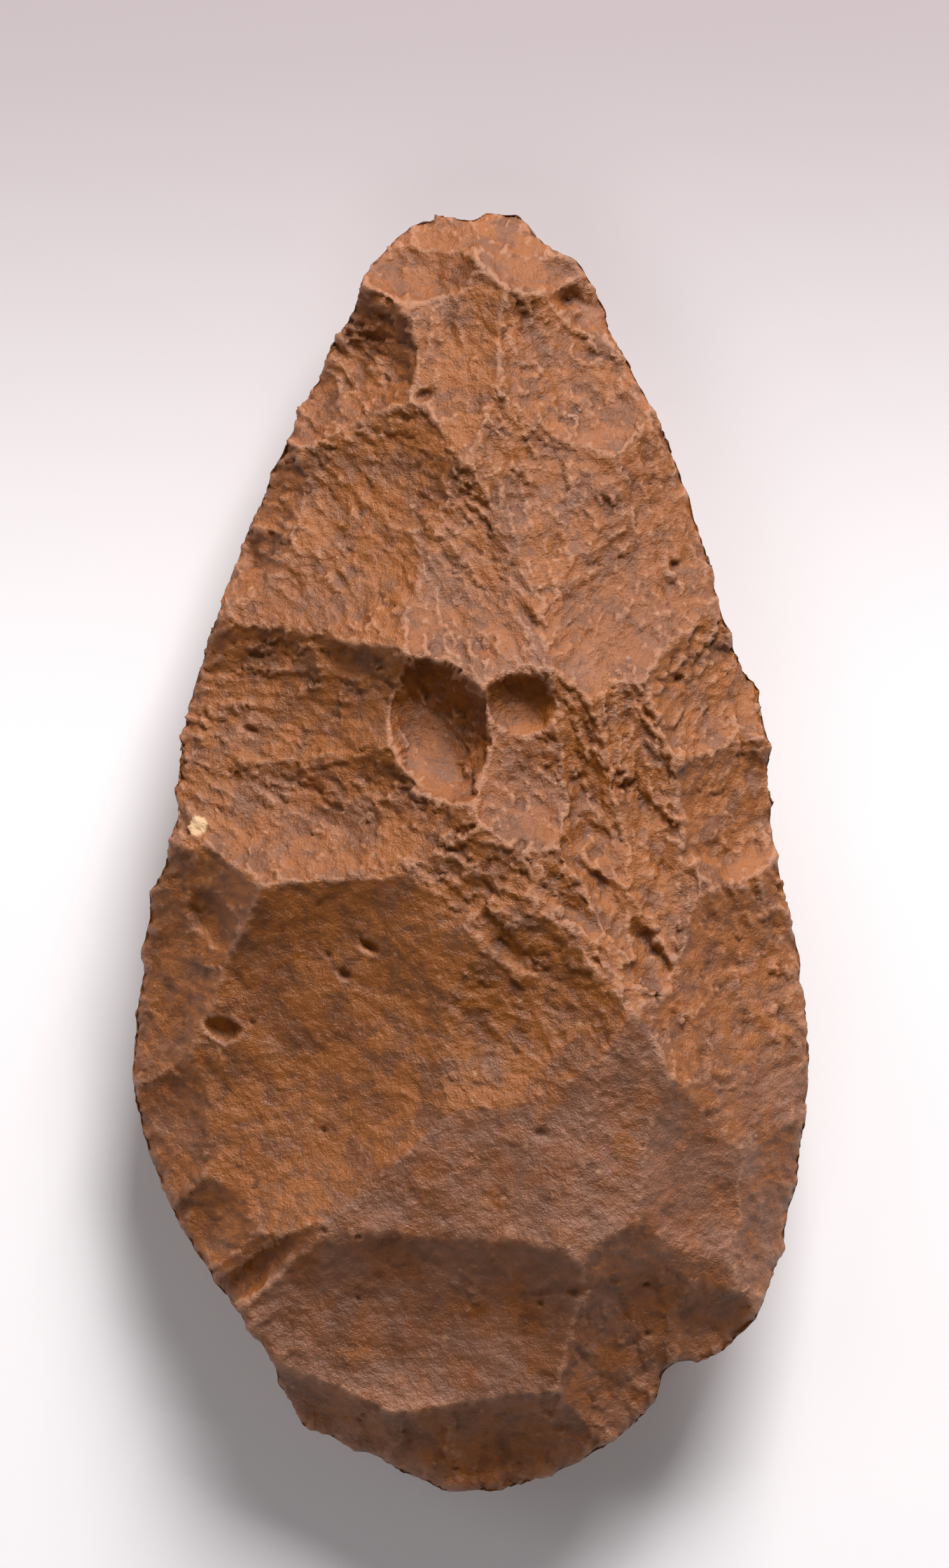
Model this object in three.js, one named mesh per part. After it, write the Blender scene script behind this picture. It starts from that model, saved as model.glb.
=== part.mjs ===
// A stone hand axe lying on its flatter face. Millimetres: X across, Y along to the tip, Z up,
// with the origin on the ground under the middle of the box.
// Each face is a set of flake scars. A scar is a tilted dish: the upper face is the lowest of its
// dishes at every point and the under face is the highest of its own, so two neighbouring scars
// meet in a ridge by themselves.
import * as THREE from 'three';

// ---- sizes ------------------------------------------------------------------------------------
const EDGE_HEIGHT = 17; // middle height of the cutting edge above the ground
const EDGE_THICKNESS = 2.4; // worn cutting edge, between the two faces
const EDGE_ROUND = 1.6; // how far in from the rim the wear reaches
const UNDER_BLEND = 14; // the under face is drawn to the rim over this distance
const BITE = 0.75; // depth of the small bites along the rim
const BITE_LENGTH = 8.5; // length of one bite

const RIM_POINTS = 150; // facets around the rim
const RIDGE_STEP = 1.4; // facet length along a ridge of the upper face
const SCAR_STEP = 2.05; // facet length inside a scar of the upper face
const UNDER_RIDGE_STEP = 2.8; // the same two for the under face
const UNDER_SCAR_STEP = 4.4;

// outline of the axe seen from above, clockwise from the tip
const OUTLINE = [
  [-5, 89.3], [0.8, 89.2], [6.4, 90], [8.7, 87], [16, 81.6], [20, 72.5], [27, 59], [33, 42],
  [36.5, 30],
  [41, 20], [42.5, 2], [46, -15], [47.4, -30], [45, -50], [41, -63.5], [35, -70.5], [28, -72.3],
  [25.5, -77.5], [20, -82.6], [10, -88], [-2, -90], [-13.5, -85.2], [-24.3, -79.8], [-28.2, -71.5],
  [-35.5, -61], [-42, -50.5], [-47.4, -34], [-46.6, -18], [-45, -6], [-42.2, 1.5], [-40.6, 17],
  [-36.8, 30], [-33, 41], [-25, 60], [-18, 74], [-12.5, 84.5],
];

// scars of the upper face: middle x, y and height above the edge, slope along x and y, half length,
// half width, turn of the long axis in degrees, depth of the dish at its rim, and its wall (2 a bowl,
// 4 a flat floor)
const SCARS = [
  // the tip
  [-6.6, 82, 1.6, 0.22, -0.36, 6.4, 4.8, -5, 2.6, 2.6],
  [-5, 87.5, -0.4, 0.1, -0.5, 8, 3.5, 20, 1.4, 2],
  [6, 88, -0.4, -0.12, -0.62, 7.5, 4.2, -28, 1.5, 2],
  [8, 82.5, 3.2, -0.3, -0.42, 12, 3, -25, 1.5, 2],
  [14.5, 77, 2.2, -0.62, -0.2, 5, 3, -35, 1.8, 2],
  [12, 69, 5.6, -0.4, -0.2, 13.5, 11, -50, 3.6, 2.6],
  [-14.5, 69, 2.3, 0.48, -0.1, 9, 7, 62, 3, 2.4],
  [-21, 64, 0.4, 0.6, -0.35, 5, 3.6, 60, 1.4, 2],
  [-3, 70, 7.6, 0.12, -0.26, 6, 11, 0, 1.2, 2],
  // below the tip
  [-16, 47, 6.6, 0.34, -0.2, 19, 16, 50, 4.6, 2.4],
  [-30, 42, 0.6, 0.75, -0.3, 5, 4.6, 40, 2.2, 2],
  [-27.5, 49.5, 0.8, 0.62, -0.2, 6, 4.4, 40, 1.6, 2],
  [-22, 36, 7.8, 0.4, -0.34, 15, 9, 30, 2.2, 2],
  [12, 46, 11.6, -0.18, -0.24, 20, 14, -62, 2.8, 2],
  [25, 45, 7.8, -0.6, -0.2, 16, 9, -70, 2.2, 2],
  [18.5, 31, 13.2, -0.36, -0.4, 13, 10.5, 60, 2.4, 2],
  [1, 34, 14.6, 0.08, -0.34, 15, 11, -55, 2.8, 2],
  // the middle, from the left edge over to the right one
  [-29, 20.5, 5, 0.43, -0.1, 20, 10.8, -10, 3, 2.6],
  [-20, 6, 10.8, 0.42, -0.2, 22, 9, -12, 2.6, 2],
  [-5, 16.8, 12.2, 0.08, -0.1, 8.6, 6.6, -72, 4.2, 2.6],
  [6.8, 20, 15.6, -0.05, -0.1, 4.6, 4.2, 0, 2.6, 2.6],
  [8, 9.5, 17.6, -0.05, -0.18, 10, 8, -40, 2.6, 2],
  [34, 23.5, 6.2, -0.62, -0.1, 8.6, 9.5, 0, 2.8, 3],
  [36, 7, 7, -0.72, -0.04, 9.6, 7.2, 90, 2.2, 3.4],
  [37, -13, 9, -0.8, 0.05, 16, 12, 90, 3, 2],
  [17, 6, 17, -0.22, -0.08, 15, 5, -72, 1.8, 2],
  [24, 4, 15, -0.45, -0.1, 17, 5, -78, 1.4, 2],
  [-2, -8, 19.8, 0.1, -0.1, 12, 9, -42, 1.5, 2],
  [17, -9, 20.6, -0.16, -0.1, 15, 6, -48, 1.6, 2],
  // the broad lower left scars
  [-18, -24.5, 11.2, 0.36, 0.12, 38, 23.5, 31, 4.6, 2.8],
  [5, -25.5, 17.6, 0.17, 0.05, 19, 13, 36, 2.8, 2.4],
  [-40, -16, 2.4, 0.8, 0.04, 16, 7, 68, 2.2, 2],
  [-40, -37, 1.2, 0.68, 0.14, 12, 8, 72, 2.6, 2],
  [-36, -51, 2.4, 0.62, 0.16, 8, 5.5, 35, 2, 2],
  [2, -46, 16.2, 0.2, 0.11, 40, 13, 33, 1.6, 2],
  [-31, -56, 6.6, 0.42, 0.34, 11, 3.2, 30, 0.8, 2],
  [22, -42, 18.9, -0.02, 0.12, 17, 9, 74, 1.3, 2],
  // lower right edge
  [40, -31, 8.6, -0.8, 0.06, 11, 9, 80, 1.8, 2],
  [33, -50, 11.4, -0.52, 0.14, 11, 8.5, 80, 1.2, 2],
  [42.5, -50, 3.6, -0.9, 0.22, 11, 5.5, 84, 1.3, 2],
  // the butt
  [-7, -68, 7.3, 0.15, 0.22, 28, 13.4, -8, 2.8, 2.6],
  [-19, -81, -0.6, 0.3, 0.5, 8, 3.6, -28, 1.2, 2],
  [0, -85, 0.4, 0.02, 0.5, 15, 5.4, 4, 1.4, 2],
  [28, -64, 9.7, -0.36, 0.24, 12, 7, 3, 1, 2],
  [30, -68, 5, -0.36, 0.34, 8, 4.6, 12, 1.4, 2],
  [20.5, -74.5, 4.9, -0.32, 0.32, 11, 6.5, 68, 1.6, 2],
];

// chips, flutes and hollows inside those scars: middle x and y, half length, half width, turn, depth,
// wall, and how much deeper the far end is than the near one
const CHIPS = [
  // flutes running down to the highest point, and the lip that ends them
  [22, -10.2, 11, 2.6, -53, 1.2, 2, 0.5],
  [15.8, 6, 9, 3.2, -76, 1, 2, 0.3],
  [13, -5, 9, 2, -56, 0.9, 2, 0.3],
  [24.4, -17.2, 4.4, 2.1, -8, 0.9, 4, 0],
  [26.4, -24, 6, 2.4, 58, 0.7, 2, 0],
  // hollows beside the flutes
  [-1, -6.6, 4.4, 2.6, 50, 0.9, 2, 0],
  [4.4, -12.4, 5.6, 2.4, -34, 0.9, 2, 0.3],
  [27.4, -3, 8.4, 2.1, -80, 0.6, 2, 0],
  [33, -0.4, 4, 1.6, -14, 0.7, 4, 0],
  // notch and steps of the upper scars
  [9, 32.4, 3, 1.1, -38, 1, 2, 0],
  [-14.8, 70.6, 3.6, 2.6, 60, 1, 3, 0],
  [-10.8, 67, 2.8, 2.3, 20, 0.9, 3, 0],
  [13.4, 77.7, 2.6, 1.7, -30, 0.9, 2, 0],
  [-31, 41.6, 3, 1.6, 100, 0.9, 2, 0],
  [-16.6, 26.6, 8, 2, -34, 0.8, 2, 0],
  // left edge: a stepped flap, a deep hole, and the groove above the butt
  [-36.4, -9.4, 6, 2.3, -58, 1.2, 3, 0],
  [-34.6, -24.6, 2.8, 1.6, -38, 1.8, 2, 0],
  [-29.6, -58.4, 10.4, 2.5, 33, 1.8, 2, -0.4],
];

// rows of scars round the under face: how many, how far in from the rim, height of the middle,
// slope up to the rim, half length towards the rim, half width along it, depth
const UNDER_ROWS = [
  [17, 10, 9.5, 0.5, 11, 13, 2.0],
  [11, 22, 4.6, 0.3, 15, 14, 1.8],
];

// ---- the rim ----------------------------------------------------------------------------------
const outline = new THREE.CatmullRomCurve3(
  OUTLINE.map(([x, y]) => new THREE.Vector3(x, y, 0)), true, 'centripetal');
outline.arcLengthDivisions = 2000;
const rimLength = outline.getLength();

// a point of the rim and its direction inward, at a share 0 to 1 of the way round
function rimAt(share) {
  const u = ((share % 1) + 1) % 1;
  const point = outline.getPointAt(u);
  const along = outline.getTangentAt(u);
  const inward = new THREE.Vector3(along.y, -along.x, 0);
  const s = u * rimLength;
  const bite = Math.abs(Math.sin((Math.PI * s) / BITE_LENGTH + 1.3 * Math.sin(s / 19)));
  const deep = BITE * (0.6 + 0.4 * Math.sin(s / 13 + 1));
  point.addScaledVector(inward, deep * (bite - 0.45));
  return { x: point.x, y: point.y, ix: inward.x, iy: inward.y };
}

// ---- the two faces ----------------------------------------------------------------------------
// gentle unevenness of scar number i, which also makes the ridges wander
function swell(x, y, i) {
  const u = x + 2.2 * Math.sin(0.19 * y + i);
  const v = y + 2.2 * Math.sin(0.23 * x + 2 * i);
  return 0.15 * (Math.sin(0.36 * u + 0.2 * v + 2.4 * i) + Math.sin(0.4 * v - 0.17 * u + 4.1 * i))
    + 0.03 * (Math.sin(0.95 * u - 0.6 * v + 1.7 * i) + Math.sin(0.5 * u + 1.05 * v + 3.3 * i));
}

const scars = SCARS.map(([cx, cy, cz, gx, gy, a, b, turn, depth, wall], i) => {
  const c = Math.cos((turn * Math.PI) / 180);
  const s = Math.sin((turn * Math.PI) / 180);
  return (x, y) => {
    const dx = x - cx;
    const dy = y - cy;
    const reach = Math.hypot((dx * c + dy * s) / a, (dy * c - dx * s) / b);
    return EDGE_HEIGHT + cz + gx * dx + gy * dy + depth * reach ** wall + swell(x, y, i);
  };
});

const chips = CHIPS.map(([cx, cy, a, b, turn, depth, wall, tilt]) => {
  const c = Math.cos((turn * Math.PI) / 180);
  const s = Math.sin((turn * Math.PI) / 180);
  return (x, y) => {
    const dx = x - cx + 0.5 * Math.sin(0.5 * y + 0.3 * x) + 0.15 * Math.sin(1.2 * y - 0.5 * x);
    const dy = y - cy + 0.5 * Math.sin(0.5 * x - 0.3 * y) + 0.15 * Math.sin(1.2 * x + 0.5 * y);
    const along = (dx * c + dy * s) / a;
    const across = (dy * c - dx * s) / b;
    const reach = Math.hypot(along, across);
    return reach < 1 ? depth * (1 - reach ** wall) * (1 + tilt * along) : 0;
  };
});

// the under face's scars follow the rim in rows, each turned and sized a little differently
const underScars = [() => 0];
UNDER_ROWS.forEach(([count, inset, z, slope, a, b, depth], row) => {
  for (let k = 0; k < count; k += 1) {
    const wave = Math.sin(2.4 * k + row);
    const { x: rx, y: ry, ix, iy } = rimAt((k + 0.5 * row + 0.22 * wave) / count);
    const cx = rx + ix * inset * (1 + 0.15 * wave);
    const cy = ry + iy * inset * (1 + 0.15 * wave);
    const tilt = 0.35 * Math.sin(1.7 * k + 2 * row);
    const ox = -ix * Math.cos(tilt) - iy * Math.sin(tilt);
    const oy = ix * Math.sin(tilt) - iy * Math.cos(tilt);
    underScars.push((x, y) => {
      const out = (x - cx) * ox + (y - cy) * oy;
      const side = (x - cx) * oy - (y - cy) * ox;
      return z + 0.5 * wave + slope * out - depth * ((out / a) ** 2 + (side / b) ** 2)
        + swell(x, y, 50 + 20 * row + k);
    });
  }
});

// winner of a set of scars at a point: sign 1 takes the lowest, -1 the highest
function winner(set, sign, x, y) {
  let best = 0;
  let height = Infinity;
  for (let i = 0; i < set.length; i += 1) {
    const z = sign * set[i](x, y);
    if (z < height) {
      height = z;
      best = i;
    }
  }
  return { z: sign * height, i: best };
}

function upperAt(x, y) {
  const place = winner(scars, 1, x, y);
  let deepest = 0;
  let which = 0;
  chips.forEach((chip, k) => {
    const cut = chip(x, y);
    if (cut > deepest) {
      deepest = cut;
      which = k + 1;
    }
  });
  return { z: place.z - deepest, i: place.i + 100 * which };
}
const underAt = (x, y) => winner(underScars, -1, x, y);

// the rim once, with the height of both faces there
const rim = [];
for (let k = 0; k < 4 * RIM_POINTS; k += 1) {
  const p = rimAt(k / (4 * RIM_POINTS));
  p.upper = upperAt(p.x, p.y).z;
  p.under = underAt(p.x, p.y).z;
  rim.push(p);
}

function nearestRim(x, y) {
  let best = rim[0];
  let gap = Infinity;
  for (const p of rim) {
    const d = (p.x - x) ** 2 + (p.y - y) ** 2;
    if (d < gap) {
      gap = d;
      best = p;
    }
  }
  return { p: best, gap: Math.sqrt(gap) };
}

const fade = (gap, reach) => Math.max(0, 1 - gap / reach) ** 2;

function upperFace(x, y) {
  const { gap } = nearestRim(x, y);
  return upperAt(x, y).z - 0.5 * EDGE_THICKNESS * fade(gap, EDGE_ROUND);
}

function underFace(x, y) {
  const { p, gap } = nearestRim(x, y);
  const lift = p.upper - EDGE_THICKNESS - p.under;
  return underAt(x, y).z + lift * fade(gap, UNDER_BLEND)
    + 0.5 * EDGE_THICKNESS * fade(gap, EDGE_ROUND);
}

// ---- facets -----------------------------------------------------------------------------------
const corners = rim.filter((p, k) => k % 4 === 0);

function isInside(x, y) {
  let inside = false;
  for (let i = 0, j = corners.length - 1; i < corners.length; j = i, i += 1) {
    const a = corners[i];
    const b = corners[j];
    if (a.y > y !== b.y > y && x < a.x + ((y - a.y) / (b.y - a.y)) * (b.x - a.x)) inside = !inside;
  }
  return inside;
}

// spread points over a face: the rim, a line just inside it, the ridges, then the scars' floors
function spread(faceAt, ridgeStep, scarStep) {
  const points = [];
  const cells = new Map();
  const size = 5;
  const add = (x, y, clear) => {
    const cx = Math.floor(x / size);
    const cy = Math.floor(y / size);
    for (let i = cx - 1; i <= cx + 1; i += 1) {
      for (let j = cy - 1; j <= cy + 1; j += 1) {
        for (const q of cells.get(`${i},${j}`) ?? []) {
          if ((q[0] - x) ** 2 + (q[1] - y) ** 2 < clear * clear) return false;
        }
      }
    }
    const key = `${cx},${cy}`;
    if (!cells.has(key)) cells.set(key, []);
    cells.get(key).push([x, y]);
    points.push([x, y]);
    return true;
  };
  corners.forEach((p) => add(p.x, p.y, 0));
  corners.forEach((p, k) => {
    const q = rim[4 * k + 2];
    add(q.x + EDGE_ROUND * q.ix, q.y + EDGE_ROUND * q.iy, 0.9 * EDGE_ROUND);
  });
  const ground = (x, y, clear, margin) => {
    if (isInside(x, y) && nearestRim(x, y).gap > margin) add(x, y, clear);
  };
  // a ridge is crossed where two neighbouring places belong to different scars
  const net = 0.9;
  const cross = (x0, y0, x1, y1) => {
    const first = faceAt(x0, y0).i;
    if (faceAt(x1, y1).i === first) return;
    let lo = 0;
    let hi = 1;
    for (let step = 0; step < 12; step += 1) {
      const mid = (lo + hi) / 2;
      if (faceAt(x0 + (x1 - x0) * mid, y0 + (y1 - y0) * mid).i === first) lo = mid;
      else hi = mid;
    }
    ground(x0 + (x1 - x0) * lo, y0 + (y1 - y0) * lo, 0.72 * ridgeStep, 1.3 * EDGE_ROUND);
  };
  for (let x = -50; x < 50; x += net) {
    for (let y = -92; y < 92; y += net) {
      cross(x, y, x + net, y);
      cross(x, y, x, y + net);
    }
  }
  for (let row = 0, y = -92; y < 92; row += 1, y += 0.866 * scarStep) {
    for (let x = -50 + (row % 2) * 0.5 * scarStep; x < 50; x += scarStep) {
      const jx = 0.1 * scarStep * Math.sin(12.9 * x + 78.2 * y);
      const jy = 0.1 * scarStep * Math.sin(39.3 * x - 11.1 * y);
      ground(x + jx, y + jy, 0.62 * scarStep, 1.25 * EDGE_ROUND);
    }
  }
  return points;
}

// Delaunay triangles of the points, one point added at a time
function triangulate(points) {
  const all = [...points, [-1000, -900], [1000, -900], [0, 1100]];
  const n = points.length;
  const make = (a, b, c) => {
    const [ax, ay] = all[a];
    const bx = all[b][0] - ax;
    const by = all[b][1] - ay;
    const cx = all[c][0] - ax;
    const cy = all[c][1] - ay;
    const d = 2 * (bx * cy - by * cx);
    const ux = (cy * (bx * bx + by * by) - by * (cx * cx + cy * cy)) / d;
    const uy = (bx * (cx * cx + cy * cy) - cx * (bx * bx + by * by)) / d;
    return { a, b, c, x: ax + ux, y: ay + uy, r: ux * ux + uy * uy };
  };
  let triangles = [make(n, n + 1, n + 2)];
  for (let p = 0; p < n; p += 1) {
    const [x, y] = all[p];
    const open = new Map();
    triangles = triangles.filter((t) => {
      if ((t.x - x) ** 2 + (t.y - y) ** 2 >= t.r) return true;
      for (const [a, b] of [[t.a, t.b], [t.b, t.c], [t.c, t.a]]) {
        if (!open.delete(`${b},${a}`)) open.set(`${a},${b}`, [a, b]);
      }
      return false;
    });
    for (const [a, b] of open.values()) triangles.push(make(a, b, p));
  }
  return triangles.filter((t) => Math.max(t.a, t.b, t.c) < n).map((t) => [t.a, t.b, t.c])
    .filter(([a, b, c]) => isInside(
      (points[a][0] + points[b][0] + points[c][0]) / 3,
      (points[a][1] + points[b][1] + points[c][1]) / 3));
}

// one closed body: both faces share the rim's points
const positions = [];
const indices = [];
for (const side of [1, -1]) {
  const points = side > 0
    ? spread(upperAt, RIDGE_STEP, SCAR_STEP)
    : spread(underAt, UNDER_RIDGE_STEP, UNDER_SCAR_STEP);
  const shift = side > 0 ? 0 : positions.length / 3 - RIM_POINTS;
  const index = (i) => (i < RIM_POINTS ? i : i + shift);
  points.forEach(([x, y], i) => {
    if (side < 0 && i < RIM_POINTS) return;
    positions.push(x, y, side > 0 ? upperFace(x, y) : underFace(x, y));
  });
  for (const [a, b, c] of triangulate(points)) {
    if (side > 0) indices.push(index(a), index(b), index(c));
    else indices.push(index(a), index(c), index(b));
  }
}

const geometry = new THREE.BufferGeometry();
geometry.setAttribute('position', new THREE.Float32BufferAttribute(positions, 3));
geometry.setIndex(indices);
geometry.computeVertexNormals();
geometry.computeBoundingBox();
const middle = geometry.boundingBox.getCenter(new THREE.Vector3());
geometry.translate(-middle.x, -middle.y, 0);

const stone = new THREE.MeshStandardMaterial({ color: '#96592f', roughness: 0.78, metalness: 0 });
const axe = new THREE.Mesh(geometry, stone);
axe.name = 'hand_axe';

const part = new THREE.Group();
part.name = 'stone_hand_axe';
part.add(axe);

export default part;
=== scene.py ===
import math

import bpy
import numpy as np
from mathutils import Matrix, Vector
from mathutils.geometry import delaunay_2d_cdt
from mathutils.kdtree import KDTree


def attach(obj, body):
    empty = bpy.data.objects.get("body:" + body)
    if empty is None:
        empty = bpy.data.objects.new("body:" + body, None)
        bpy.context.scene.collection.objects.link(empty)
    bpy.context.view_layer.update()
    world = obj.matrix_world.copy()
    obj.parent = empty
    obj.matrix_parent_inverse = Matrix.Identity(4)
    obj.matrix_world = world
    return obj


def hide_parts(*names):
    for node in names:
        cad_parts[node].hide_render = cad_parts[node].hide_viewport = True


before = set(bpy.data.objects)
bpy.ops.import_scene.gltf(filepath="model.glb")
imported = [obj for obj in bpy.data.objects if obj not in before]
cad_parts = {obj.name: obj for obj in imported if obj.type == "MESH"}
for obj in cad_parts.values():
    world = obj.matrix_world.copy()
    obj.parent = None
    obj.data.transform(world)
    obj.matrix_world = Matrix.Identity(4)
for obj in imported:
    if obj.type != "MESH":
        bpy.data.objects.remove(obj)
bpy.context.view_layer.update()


# ---- Table, light and camera -------------------------------------------------------------------
# The axe lies on a sheet of pale matt paper, with painted shade that makes it a little greyer past the
# tip. One soft lamp stands low beyond the tip and rakes down the worked face; weak lamps at the butt and
# the left fill the shade.

def linear(code):
    """Turn an sRGB hex colour into the linear colour that Blender works in."""
    parts = [int(code[i:i + 2], 16) / 255 for i in (1, 3, 5)]
    return [c / 12.92 if c <= 0.04045 else ((c + 0.055) / 1.055) ** 2.4 for c in parts] + [1]


def add(tree, kind, settings=None, inputs=None):
    """Add a node, set its properties, then fill or link its sockets by name or number."""
    node = tree.nodes.new(kind)
    for name, value in (settings or {}).items():
        setattr(node, name, value)
    for name, value in (inputs or {}).items():
        if isinstance(value, bpy.types.NodeSocket):
            tree.links.new(value, node.inputs[name])
        else:
            node.inputs[name].default_value = value
    return node


paper = bpy.data.materials.new("matt paper")
paper.use_nodes = True
tree = paper.node_tree
tree.nodes.clear()
place = add(tree, "ShaderNodeTexCoord")
along = add(tree, "ShaderNodeSeparateXYZ", inputs={0: place.outputs["Object"]})
# painted shade: the paper is painted greyer past the tip, standing in for the light falling off there
shade = add(tree, "ShaderNodeMapRange", {"interpolation_type": "SMOOTHSTEP"},
            {"Value": along.outputs["Y"], "From Min": 0.0, "From Max": 0.13})
tone = add(tree, "ShaderNodeMix", {"data_type": "RGBA"},
           {0: shade.outputs[0], 6: linear("#ece7e8"), 7: linear("#b0a4a6")})
surface = add(tree, "ShaderNodeBsdfPrincipled",
              inputs={"Base Color": tone.outputs[2], "Roughness": 0.9, "Specular IOR Level": 0.1})
add(tree, "ShaderNodeOutputMaterial", inputs={"Surface": surface.outputs[0]})

sheet = bpy.data.meshes.new("table sheet")
half = 3.0  # the sheet reaches past every view
sheet.from_pydata([(-half, -half, 0), (half, -half, 0), (half, half, 0), (-half, half, 0)], [],
                  [(0, 1, 2, 3)])
table = bpy.data.objects.new("table_sheet", sheet)
table.data.materials.append(paper)
bpy.context.collection.objects.link(table)

# each lamp's direction from the axe, distance, width and power
aim = Vector((0, 0, 0.02))
for name, way, distance, size, power in [
    ("lamp beyond the tip", (0.22, 0.80, 0.56), 1.5, 0.75, 43),
    ("fill at the butt", (-0.15, -0.55, 0.8), 1.8, 1.0, 5),
    ("fill at the left", (-0.7, 0.2, 0.7), 1.8, 0.9, 3),
]:
    lamp = bpy.data.lights.new(name, "AREA")
    lamp.size = size
    lamp.energy = power
    holder = bpy.data.objects.new(name, lamp)
    holder.location = aim + Vector(way).normalized() * distance
    holder.rotation_euler = Vector(way).to_track_quat("Z", "Y").to_euler()
    holder.visible_glossy = name == "lamp beyond the tip"
    bpy.context.collection.objects.link(holder)

room = bpy.data.worlds.new("pale room")
room.use_nodes = True
room.node_tree.nodes["Background"].inputs["Color"].default_value = linear("#f4f4f6")
room.node_tree.nodes["Background"].inputs["Strength"].default_value = 0.12
room.cycles_visibility.glossy = False
bpy.context.scene.world = room
bpy.context.scene.view_settings.view_transform = "Standard"

# the camera looks straight down from so high that the axe shows almost no perspective
height = 3.0
view_length = 0.2204  # what the picture takes in from top to bottom, at the height of the edge
edge_level = 0.017
lens = bpy.data.cameras.new("camera")
lens.lens = 36 * (height - edge_level) / view_length
lens.clip_end = 20
camera = bpy.data.objects.new("camera", lens)
camera.location = (0.00055, 0.0096, height)
bpy.context.collection.objects.link(camera)
bpy.context.scene.camera = camera


# ---- Hand axe ----------------------------------------------------------------------------------
# One piece of brown chert, struck to shape by hand. Every hollow is the scar of a flake that was
# knocked off from the rim; where two scars meet they leave a ridge, worn dull since by long burial.

MM = 0.001  # one millimetre, which the sizes of the axe are in
EDGE_HEIGHT = 17  # middle height of the cutting edge above the ground
EDGE_THICKNESS = 2.4  # worn cutting edge, between the two faces
EDGE_ROUND = 1.6  # how far in from the rim the wear reaches
UNDER_BLEND = 14  # the under face is drawn to the rim over this distance
BITE = 0.75  # depth of the small bites along the rim
BITE_LENGTH = 8.5  # distance between them
RIDGE_WEAR = 0.22  # how much a ridge is rounded off

TOP_STEP = 0.44  # distance between the points of the worked face
UNDER_STEP = 0.86  # and of the under face
RIM_POINTS = 980
FIELD = (50, 92)  # half width and half length of the field of points, a little past the outline

# outline seen from above, clockwise from the tip
OUTLINE = [
    (-5, 89.3), (0.8, 89.2), (6.4, 90), (8.7, 87), (16, 81.6), (20, 72.5), (27, 59), (33, 42),
    (36.5, 30),
    (41, 20), (42.5, 2), (46, -15), (47.4, -30), (45, -50), (41, -63.5), (35, -70.5), (28, -72.3),
    (25.5, -77.5), (20, -82.6), (10, -88), (-2, -90), (-13.5, -85.2), (-24.3, -79.8),
    (-28.2, -71.5), (-35.5, -61), (-42, -50.5), (-47.4, -34), (-46.6, -18), (-45, -6),
    (-42.2, 1.5), (-40.6, 17), (-36.8, 30), (-33, 41), (-25, 60), (-18, 74), (-12.5, 84.5),
]

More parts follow.
